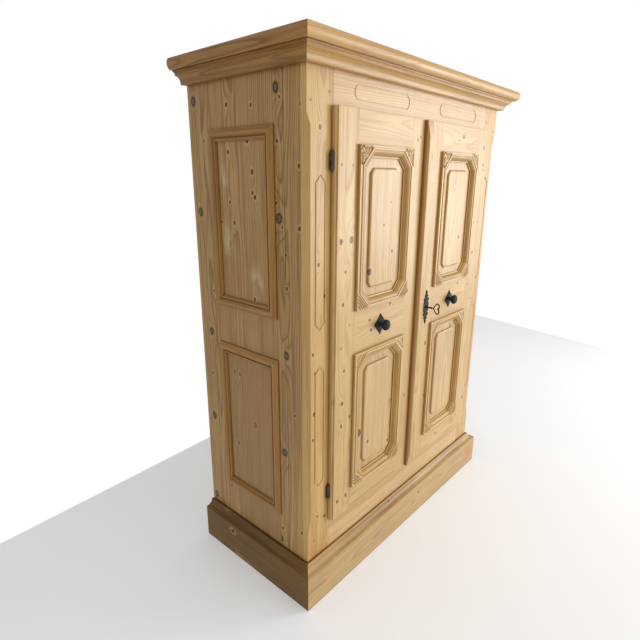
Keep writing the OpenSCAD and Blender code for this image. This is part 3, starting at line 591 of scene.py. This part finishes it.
side_boards("left_side_boards", -1)
side_boards("right_side_boards", 1)
board("left_front_stile", M["stile_l"], "z", world=True, pith=(0.01, 0.06))
board("right_front_stile", M["stile_l"], "z", world=True, pith=(-0.02, 0.05))
board("front_top_rail", M["rail"], "x", world=True)
board("front_bottom_rail", M["rail"], "x", world=True)
board("plinth_front", M["plinth"], "x", bevel=0.002, world=True)
board("plinth_left", M["plinth_s"], "y", bevel=0.002, world=True)
board("plinth_right", M["plinth_s"], "y", bevel=0.002, world=True)
for n, gr in (("cornice_front", "x"), ("cornice_left", "y"), ("cornice_right", "y")):
    board(n, M["cornice" if gr == "x" else "cornice_shaded"], gr, bevel=0.0012)
for n, gr in (("back_boards", "z"), ("top_board", "x"), ("floor_board", "x"), ("floor_bearers", "y"), ("hat_shelf", "x"),
              ("shelf_cleats", "y"), ("clothes_rail", "x"), ("rail_brackets", "z")):
    board(n, M["raw"], gr, min_len=0.02)
for n in ("left_side_mouldings", "right_side_mouldings"):
    board(n, M["smould"], "auto", bevel=0.0004)
for n in ("frame_pegs", "left_door_pegs", "right_door_pegs"):
    board(n, M["peg"], "y", bevel=0)

# ---------------------------------------------------------------- doors
def panel_piece(side, lab):
    """The panel with its raised octagonal field, whose edge is a smooth slope."""
    sg = -1 if side == "left" else 1
    z0, z1 = (UZ0, UZ1) if lab == "upper" else (LZ0, LZ1)
    bm = bmesh.new()

    def ring(t, y, outer=False):
        a = Vector((PX0, z0)) if outer else Vector((PX0 + MARG + t, z0 + MARGZ + t))
        b = Vector((PX1, z1)) if outer else Vector((PX1 - MARG - t, z1 - MARGZ - t))
        c = CUT - t * (2 - math.sqrt(2)) if not outer else CUT
        h = 0.0 if outer else c / 2
        pts = [(a.x + c, a.y), (b.x - c, a.y), (b.x - h, a.y + h), (b.x, a.y + c), (b.x, b.y - c), (b.x - h, b.y - h), (b.x - c, b.y), (a.x + c, b.y),
               (a.x + h, b.y - h), (a.x, b.y - c), (a.x, a.y + c), (a.x + h, a.y + h)]
        return [bm.verts.new((sg * x, y, z)) for x, z in pts]

    y = YD + 0.008
    # painted shade on the sloped wall round the raised field
    shade_layer = bm.verts.layers.float.new("cut")
    rings = [ring(0, YD + 0.020, True), ring(0, y, True)]
    for t, h in ((60.0, 0), (62.0, 0), (62.5, 0.5), (62.9, 1.8), (63.6, 3.4), (64.6, 5.0), (65.8, 6.3), (67.2, 7.3), (68.8, 7.85), (70.5, 8.0), (74.0, 8.0)):
        rings.append(ring(t / 1000, y - h / 1000))
        for v in rings[-1]:
            v[shade_layer] = 0.62 if 0.2 < h < 4.0 else (0.30 if 4.0 < h < 6.0 else 0.0)
    for a, b in zip(rings, rings[1:]):
        for i in range(12):
            k = (i + 1) % 12
            bm.faces.new((a[i], a[k], b[k], b[i]))
    bm.faces.new(rings[-1])
    bm.faces.new(list(reversed(rings[0])))
    bmesh.ops.recalc_face_normals(bm, faces=bm.faces)
    wood_coords(bm, "z", world=True)
    finish_bm(bm, f"{side}_{lab}_panel_wood", M["panel"], side + "_door", (f"{side}_{lab}_panel",), sharp=44)


def mouldings(side):
    """Octagon mouldings; the proud outer fillet and the small inner one carry a painted highlight, and the foot by the
    panel painted shade.
    """
    node = f"{side}_panel_mouldings"
    bm = cad_bm(node)
    bevel_long(bm, 0.0004, 2, 0.012)
    wood_coords(bm, "auto")
    bm.verts.layers.float.new("proud")
    ct = bm.verts.layers.float.new("cut")
    pr = bm.verts.layers.float["proud"]
    for v in bm.verts:
        h = YD + 0.008 - v.co.y
        # painted highlight on the outer and the small inner fillet
        v[pr] = 1.0 if h > 0.0200 else (0.90 if 0.0036 < h < 0.0052 else 0.0)
        # painted shade at the foot next to the panel and a faint line below the outer fillet
        v[ct] = 0.95 if h < 0.0034 else (0.35 if 0.0190 < h < 0.0199 else 0.0)
    finish_bm(bm, node + "_wood", M["mould"], side + "_door", (node,))


MARG, MARGZ, CUT = 0.013, 0.0075, 0.0545
for s in ("left", "right"):
    board(f"{s}_door_hinge_stile", M["door"], "z", world=True)
    board(f"{s}_door_meeting_stile", M["door"], "z", world=True)
    for r_ in ("top", "middle", "bottom"):
        board(f"{s}_door_{r_}_rail", M["drail"], "x", bevel=0.0006, world=True)
    panel_piece(s, "upper")
    panel_piece(s, "lower")
    mouldings(s)
bm = cad_bm("meeting_strip")
bevel_long(bm, 0.0012, 2)
wood_coords(bm, "z")
# painted shade on the strip's left wall, fading across its chamfer
shade_layer = bm.verts.layers.float.new("cut")
left_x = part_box("meeting_strip")[0].x
for v in bm.verts:
    d = v.co.x - left_x
    v[shade_layer] = 0.95 if d < 0.0016 else (0.16 if d < 0.0095 else 0.0)
finish_bm(bm, "meeting_strip_wood", M["strip"], BODY_OF["meeting_strip"], ("meeting_strip",))

# surrounds with carved corner blocks


def fan_cut(x, z, lim, depth):
    """Half rosette of petals on the diagonal."""
    cx = cz = lim / 2
    dx, dz = x - cx, z - cz
    rho = math.hypot(dx, dz)
    a = math.degrees(math.atan2(dz, dx))
    rel = (a - 225 + 180) % 360 - 180          # 0 points at the corner
    if abs(rel) > 90 or rho < 0.004:
        return 0.0
    n = 7
    wdt = 180.0 / n
    k = min(n - 1, math.floor((rel + 90) / wdt))
    off = ((rel + 90) - (k + 0.5) * wdt) / (wdt / 2)
    mid = -90 + (k + 0.5) * wdt
    am = math.radians(225 + mid)
    ca, sa = math.cos(am), math.sin(am)
    reach = min((cx / -ca) if ca < -1e-3 else 1, (cz / -sa) if sa < -1e-3 else 1) - 0.007
    reach = min(reach, 0.046)
    if reach < 0.012:
        return 0.0
    u = rho / reach
    if u < 0.72:
        prof = math.sqrt(max(0.0, 1 - off * off))
        fade = min(1.0, (rho - 0.004) / 0.010)
        return -depth * (1 - prof * 0.95) * fade
    tip = 0.72 + 0.16 * math.sqrt(max(0.0, 1 - off * off))
    if u < tip:
        prof = math.sqrt(max(0.0, 1 - off ** 2)) * math.sqrt(max(0.0, 1 - ((u - 0.72) / 0.16) ** 2))
        return -depth * (1 - prof * 0.9)
    if u < 1.08:
        return -depth * 1.15 * max(0.0, 1 - (u - tip) / (1.08 - tip + 1e-6)) ** 0.6
    return 0.0


def flute_cut(x, z, lim, depth):
    """Flutes along the diagonal that get shorter towards the corner, each ending in a small gouge."""
    d, q = (x + z) / math.sqrt(2), (x - z) / math.sqrt(2)
    h = 0.0
    for dk in (0.0440, 0.0355, 0.0270, 0.0185):
        half = dk - 0.0115
        w = 0.0030
        e = abs(q) - half
        r = math.hypot(max(0.0, e), d - dk) / w
        if r < 1:
            h = min(h, -depth * math.sqrt(1 - r * r))
        for sgn in (-1, 1):
            r = math.hypot(q - sgn * (half + 0.0056), d - dk + 0.0012) / 0.0019
            if r < 1:
                h = min(h, -depth * 0.9 * math.sqrt(1 - r * r))
    return h


def sunk_cut(x, z, lim, depth):
    """A sunk triangle with a plain border and one raised band along the diagonal."""
    d = (x + z) / math.sqrt(2)
    inside = min(x - 0.0085, z - 0.0085, lim / math.sqrt(2) - 0.0055 - d)
    if inside <= 0:
        return 0.0
    h = -depth * min(1.0, inside / 0.0018)
    e = abs(d - 0.0360) / 0.0042
    if e < 1:
        h *= 1 - 0.9 * math.sqrt(1 - e * e) ** 0.6
    return h


def corner_block(bm, x0, z0, sx, sz, kind):
    """A carved corner of the surround. x0, z0 is the corner, sx and sz point into the panel."""
    lim = MARG + MARGZ + CUT
    nt, nr = 84, 64
    base = PROUD
    fn, depth = {"fan": (fan_cut, 0.0034), "flutes": (flute_cut, 0.0030), "sunk": (sunk_cut, 0.0024)}[kind]
    dark = bm.verts.layers.float.get("cut") or bm.verts.layers.float.new("cut")

    def height(x, z):
        return fn(x, z, lim, depth)

    grid = []
    for i in range(nt + 1):
        th = math.radians(90) * i / nt
        ct, st = math.cos(th), math.sin(th)
        rm = min((MARG + CUT) / max(ct, 1e-9), (MARGZ + CUT) / max(st, 1e-9), lim / (ct + st))
        row = []
        for j in range(1, nr + 1):
            rr = rm * j / nr
            x, z = rr * ct, rr * st
            edge = min(x, z)
            hh = height(x, z)
            h = base + hh
            rnd = 0.0012
            if edge < rnd:
                h -= rnd - math.sqrt(max(0.0, rnd ** 2 - (rnd - edge) ** 2))
            vv = bm.verts.new((x0 + sx * x, YD - h, z0 + sz * z))
            # painted shade: the carved hollows darker with depth
            vv[dark] = min(1.0, max(0.0, -hh / depth)) ** 1.6 * {"fan": 0.38, "flutes": 0.55, "sunk": 0.35}[kind]
            row.append(vv)
        grid.append(row)
    tip = bm.verts.new((x0, YD - base + 0.0012, z0))
    for i in range(nt):
        bm.faces.new((tip, grid[i][0], grid[i + 1][0]))
        for j in range(nr - 1):
            bm.faces.new((grid[i][j], grid[i][j + 1], grid[i + 1][j + 1], grid[i + 1][j]))
    # walls down to below the door face, all round, and a back
    rim = [tip] + grid[0] + [grid[i][-1] for i in range(1, nt)] + list(reversed(grid[nt]))
    low = [bm.verts.new((v.co.x, YD + 0.0075, v.co.z)) for v in rim]
    for i in range(len(rim)):
        k = (i + 1) % len(rim)
        bm.faces.new((rim[i], rim[k], low[k], low[i]))
    bm.faces.new(low)


def bar(bm, x0, x1, z0, z1):
    """A straight piece of the surround."""
    tmp = bmesh.new()
    bmesh.ops.create_cube(tmp, size=1.0)
    a, b = Vector((x0, YD - PROUD, z0)), Vector((x1, YD + 0.0075, z1))
    for v in tmp.verts:
        v.co = Vector([(a[k] + b[k]) / 2 + v.co[k] * (b[k] - a[k]) for k in range(3)])
    bevel_long(tmp, 0.001, 2, 0.005)
    merge(bm, tmp)


def surrounds(side, body):
    sg = -1 if side == "left" else 1
    xo, xi = sg * PX1, sg * PX0
    k = 0
    for lab, z0, z1 in (("upper", UZ0, UZ1), ("lower", LZ0, LZ1)):
        bm = bmesh.new()
        for (x, sx) in ((xo, -sg), (xi, sg)):
            for (z, sz) in ((z0, 1), (z1, -1)):
                corner_block(bm, x, z, sx, sz, "flutes" if sz > 0 else ("fan" if lab == "upper" else "sunk"))
        xa, xb = min(xo, xi), max(xo, xi)
        g = 0.00008
        bar(bm, xa, xa + MARG, z0 + MARGZ + CUT + g, z1 - MARGZ - CUT - g)
        bar(bm, xb - MARG, xb, z0 + MARGZ + CUT + g, z1 - MARGZ - CUT - g)
        bar(bm, xa + MARG + CUT + g, xb - MARG - CUT - g, z0, z0 + MARGZ)
        bar(bm, xa + MARG + CUT + g, xb - MARG - CUT - g, z1 - MARGZ, z1)
        bmesh.ops.recalc_face_normals(bm, faces=bm.faces)
        wood_coords(bm, "auto")
        finish_bm(bm, f"{side}_{lab}_surround", M["carved"], body, (f"{side}_panel_surrounds",), sharp=50)


surrounds("left", "left_door")
surrounds("right", "right_door")

# ---------------------------------------------------------------- ironwork
def knob(side, body):
    sg = -1 if side == "left" else 1
    prof = [(0, -0.012), (0.004, -0.012), (0.004, 0.002)] + smooth_profile([(0.0115, 0.002), (0.0118, 0.0036), (0.0098, 0.0050), (0.0076, 0.0072), (0.0066, 0.0105), (0.0066, 0.0135),
        (0.0082, 0.0155), (0.0106, 0.0163), (0.0108, 0.0178), (0.0096, 0.0192)], 5) + smooth_profile(
        [(0.0120, 0.0196), (0.0170, 0.0205), (0.0200, 0.0232), (0.0210, 0.0268), (0.0205, 0.0306), (0.0185, 0.0342), (0.0145, 0.0372), (0.0095, 0.0390), (0.0045, 0.0398), (0.0, 0.0400)], 5)
    bm = lathe(prof, 80, 0.004)
    bmesh.ops.transform(bm, matrix=front_matrix(sg * KX, YD, KZ), verts=bm.verts)
    finish_bm(bm, f"{side}_pull_knob", M["iron"], body, (f"{side}_knob",), sharp=60, weighted=False)


def diamond_plate(side, body):
    sg = -1 if side == "left" else 1
    bm = bmesh.new()
    na, nr = 240, 16

    def outline(a):
        base = 0.0415 / (abs(math.cos(a)) + abs(math.sin(a)))
        corner = abs(((math.degrees(a) % 90) - 45)) / 45.0      # 1 at the points
        sc = 0.93 + 0.055 * abs(math.sin(10 * a)) ** 0.7
        w = min(1.0, max(0.0, (corner - 0.78) / 0.16))
        return base * (sc * (1 - w) + 1.0 * w)

    rings = []
    for j in range(nr + 1):
        t = j / nr
        ring = []
        for i in range(na):
            a = 2 * math.pi * i / na
            r = outline(a) * (0.0001 + 0.9999 * t) if j else 0.0
            q = r / 0.0415
            h = 0.0022 + 0.0010 * math.exp(-((q - 0.42) / 0.07) ** 2)
            h += 0.0007 * max(0.0, math.cos(4 * a)) ** 3 * math.exp(-((q - 0.66) / 0.12) ** 2)
            h += 0.0005 * math.cos(20 * a) * math.exp(-((q - 0.55) / 0.10) ** 2)
            if t > 0.93:
                h -= 0.0012 * ((t - 0.93) / 0.07) ** 2
            if j == 0:
                continue
            ring.append(bm.verts.new((r * math.cos(a) * 0.96, r * math.sin(a), h)))
        if j == 0:
            ring = [bm.verts.new((0, 0, 0.0022))]
        rings.append(ring)
    for a_, b_ in zip(rings, rings[1:]):
        for i in range(na):
            k = (i + 1) % na
            if len(a_) == 1:
                bm.faces.new((a_[0], b_[i], b_[k]))
            else:
                bm.faces.new((a_[i], a_[k], b_[k], b_[i]))
    low = [bm.verts.new((v.co.x, v.co.y, 0.0)) for v in rings[-1]]
    for i in range(na):
        k = (i + 1) % na
        bm.faces.new((rings[-1][i], rings[-1][k], low[k], low[i]))
    bm.faces.new(low)
    # two small pins
    for (px, pz) in ((0, 0.029), (0, -0.029)):
        t = lathe(smooth_profile([(0.0, 0.0048), (0.0012, 0.0046), (0.0022, 0.0038), (0.0027, 0.0026), (0.0027, 0.0010)], 3), 24)
        bmesh.ops.transform(t, matrix=Matrix.Translation((px, pz, 0)), verts=t.verts)
        merge(bm, t)
    bmesh.ops.recalc_face_normals(bm, faces=bm.faces)
    bmesh.ops.transform(bm, matrix=front_matrix(sg * KX, YD, KZ), verts=bm.verts)
    finish_bm(bm, f"{side}_diamond_plate", M["iron"], body, (f"{side}_knob_plate",), sharp=50, weighted=False)


def escutcheon():
    half = [(0, 75), (2.5, 69), (7.5, 65), (5, 59.5), (3, 56), (8.5, 53.5), (14, 51.5), (12.5, 46.5), (7, 43.5), (13.5, 40.5), (20.5, 37),
            (23, 31), (18, 26.5), (12.5, 24), (18, 19.5), (23, 13.5), (22.5, 7), (19.5, 0)]
    half = smooth_profile(half, 5)
    right = half + [(x, -y) for x, y in reversed(half[:-1])]
    n = len(right)
    bm = bmesh.new()
    nx = 18
    rows = []

    def top(u, y):
        """Relief across the plate: rim, raised spine and a sunk field with ribs."""
        h = 0.0021
        h -= 0.0011 * max(0.0, (abs(u) - 0.90) / 0.10) ** 2
        h += 0.0008 * math.exp(-((abs(u) - 0.80) / 0.10) ** 2)
        h -= 0.0006 * math.exp(-((abs(u) - 0.45) / 0.16) ** 2) * (0.6 + 0.4 * math.cos(y * 0.55))
        h += 0.0007 * math.exp(-(u / 0.16) ** 2) * min(1.0, max(0.0, (abs(y) - 17) / 6))
        return h

    hole = []
    for (x, y) in right:
        w = max(x, 0.15)
        rows.append([bm.verts.new((w * (2 * i / nx - 1) / 1000, y / 1000, top(2 * i / nx - 1, y))) for i in range(nx + 1)])
    for a, b in zip(rows, rows[1:]):
        for i in range(nx):
            bm.faces.new((a[i], a[i + 1], b[i + 1], b[i]))
    rim = [r[-1] for r in rows] + [v for v in reversed(rows[-1][:-1])] + [r[0] for r in reversed(rows[:-1])] + rows[0][1:-1]
    low = [bm.verts.new((v.co.x, v.co.y, 0.0)) for v in rim]
    for i in range(len(rim)):
        k = (i + 1) % len(rim)
        bm.faces.new((rim[i], rim[k], low[k], low[i]))
    bm.faces.new(low)
    # raised ring round the keyhole and pins
    ring = lathe([(0.0046, 0.0012), (0.0046, 0.0034), (0.0052, 0.0040), (0.0066, 0.0040), (0.0074, 0.0032), (0.0076, 0.0012), (0.0046, 0.0012)], 40)
    merge(bm, ring)
    for (px, pz) in ((0, 0.061), (0, -0.061), (0.0165, 0.031), (-0.0165, 0.031), (0.0165, -0.031), (-0.0165, -0.031)):
        t = lathe(smooth_profile([(0.0, 0.0042), (0.0010, 0.0040), (0.0018, 0.0033), (0.0022, 0.0022), (0.0022, 0.0010)], 3), 20)
        bmesh.ops.transform(t, matrix=Matrix.Translation((px, pz, 0)), verts=t.verts)
        merge(bm, t)
    bmesh.ops.recalc_face_normals(bm, faces=bm.faces)
    bmesh.ops.transform(bm, matrix=front_matrix(EX, YD, KZ), verts=bm.verts)
    finish_bm(bm, "key_escutcheon", M["iron"], "right_door", ("escutcheon",), sharp=55, weighted=False)


def key_piece():
    lo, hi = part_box("key")
    y0 = lo.y                       # outer end of the bow
    bow_c = y0 + 0.0124
    path = []
    n = 120
    for i in range(n):
        t = math.radians(360.0 * i / n)
        a, b = 0.00100, 0.00138
        yy = -a * (13 * math.cos(t) - 5 * math.cos(2 * t) - 2 * math.cos(3 * t) - math.cos(4 * t)) - 0.0004
        zz = b * 16 * math.sin(t) ** 3
        path.append((0.0, bow_c + yy, KZ + zz))
    bm = tube(path, lambda q: 0.0026 + 0.0004 * math.cos(2 * math.pi * q), 14)
    ys = YI + 0.0075
    L = ys - (bow_c + 0.0180)
    prof = [(0, 0), (0.0028, 0), (0.0035, 0.0008)] + [(0.0035, L - 0.0420)] + smooth_profile(
        [(0.0036, L - 0.0335), (0.0052, L - 0.0325), (0.0055, L - 0.0312), (0.0052, L - 0.0298), (0.0040, L - 0.0288), (0.0034, L - 0.0200), (0.0034, L - 0.0085), (0.0048, L - 0.0070),
         (0.0051, L - 0.0058), (0.0046, L - 0.0046), (0.0036, L - 0.0036), (0.0030, L - 0.0010)], 4) + [(0.0, L)]
    sh = lathe(prof, 40)
    bmesh.ops.transform(sh, matrix=front_matrix(0, ys, KZ), verts=sh.verts)
    merge(bm, sh)
    bit = bmesh.new()
    bmesh.ops.create_cube(bit, size=1.0)
    for v in bit.verts:
        v.co = Vector((v.co.x * 0.0024, YI + 0.0055 + v.co.y * 0.004, KZ - 0.00675 + v.co.z * 0.0095))
    bevel_long(bit, 0.0004, 2, 0.001)
    merge(bm, bit)
    for v in bm.verts:
        v.co.x += EX
    bmesh.ops.recalc_face_normals(bm, faces=bm.faces)
    finish_bm(bm, "door_key", M["iron"], "key", ("key",), sharp=60, weighted=False)


for s in ("left", "right"):
    knob(s, s + "_door")
    diamond_plate(s, s + "_door")
escutcheon()
key_piece()


def metal(node, mat, bevel=0.0004):
    bm = cad_bm(node)
    bevel_long(bm, bevel, 2, 0.0015)
    finish_bm(bm, node + "_metal", mat, BODY_OF[node], (node,), sharp=45)


for n in ("hinge_frame_leaves", "left_hinge_leaves", "right_hinge_leaves", "bolt_guides", "upper_bolt", "lower_bolt", "lock_case", "lock_bolt", "lock_keep"):
    metal(n, M["rusty"] if "hinge" in n else M["iron"])

# ---------------------------------------------------------------- stage, light, camera
g = G("studio_floor")
fl = g.n("BsdfPrincipled")
tc = g.n("TexCoord").outputs["Object"]
nz = g.noise(tc, 1.3, 4.0, 0.6)
g.put(fl.inputs["Base Color"], g.mix(nz, (0.74, 0.74, 0.74), (0.80, 0.80, 0.798)))
fl.inputs["Roughness"].default_value = 0.5
fl.inputs["Emission Color"].default_value = (1, 1, 1, 1)
fl.inputs["Emission Strength"].default_value = 0.22
out = g.n("OutputMaterial")
g.put(out.inputs[0], fl.outputs[0])
bm = bmesh.new()
bm.faces.new([bm.verts.new(c) for c in ((-9.0, -9.0, 0), (1.56, -9.0, 0), (3.69, 1.28, 0), (-9.0, 0.47, 0))])
me = bpy.data.meshes.new("studio_floor")
bm.to_mesh(me)
bm.free()
floor = bpy.data.objects.new("studio_floor", me)
bpy.context.scene.collection.objects.link(floor)
me.materials.append(g.mat)

world = bpy.data.worlds.new("studio")
world.use_nodes = True
wt = world.node_tree
bg = wt.nodes["Background"]
lp = wt.nodes.new("ShaderNodeLightPath")
mr = wt.nodes.new("ShaderNodeMapRange")
mr.inputs["To Min"].default_value = 0.56
mr.inputs["To Max"].default_value = 1.0
wt.links.new(lp.outputs["Is Camera Ray"], mr.inputs["Value"])
wt.links.new(mr.outputs[0], bg.inputs[1])
bg.inputs[0].default_value = (1.0, 1.0, 1.0, 1)
bpy.context.scene.world = world
bpy.context.scene.view_settings.view_transform = "Standard"


def area(name, loc, target, size, power, colour=(1, 1, 1), size_y=None):
    l = bpy.data.lights.new(name, "AREA")
    l.shape = "RECTANGLE"
    l.size, l.size_y = size, size_y or size
    l.energy = power
    l.color = colour
    o = bpy.data.objects.new(name, l)
    o.location = loc
    o.rotation_euler = (Vector(target) - Vector(loc)).to_track_quat("-Z", "Y").to_euler()
    bpy.context.scene.collection.objects.link(o)
    return o


area("key_light", (3.5, -2.9, 1.48), (0, -0.27, 1.0), 1.7, 104, (1.0, 0.985, 0.96), 2.2)
area("top_light", (0.6, -2.2, 4.4), (0, 0, 0.9), 3.0, 40, (1, 1, 1), 2.4)

cam = bpy.data.cameras.new("camera")
cam.sensor_width = 36
cam.lens = 482.5 / 640 * 36
cam.clip_start = 0.02
co = bpy.data.objects.new("camera", cam)
bpy.context.scene.collection.objects.link(co)
rv = Vector((1.73522, -0.77189, 0.584))
Rw = Matrix.Rotation(rv.length, 3, rv.normalized())       # world to camera, x right, y down, z forward
Rb = Matrix((Rw[0], -Rw[1], -Rw[2])).transposed()
yshift = YF + 0.5806 / 2
co.matrix_world = Matrix.Translation((-1.7303, -1.3077 + yshift, 1.5583)) @ Rb.to_4x4()
bpy.context.scene.camera = co

bpy.context.view_layer.update()
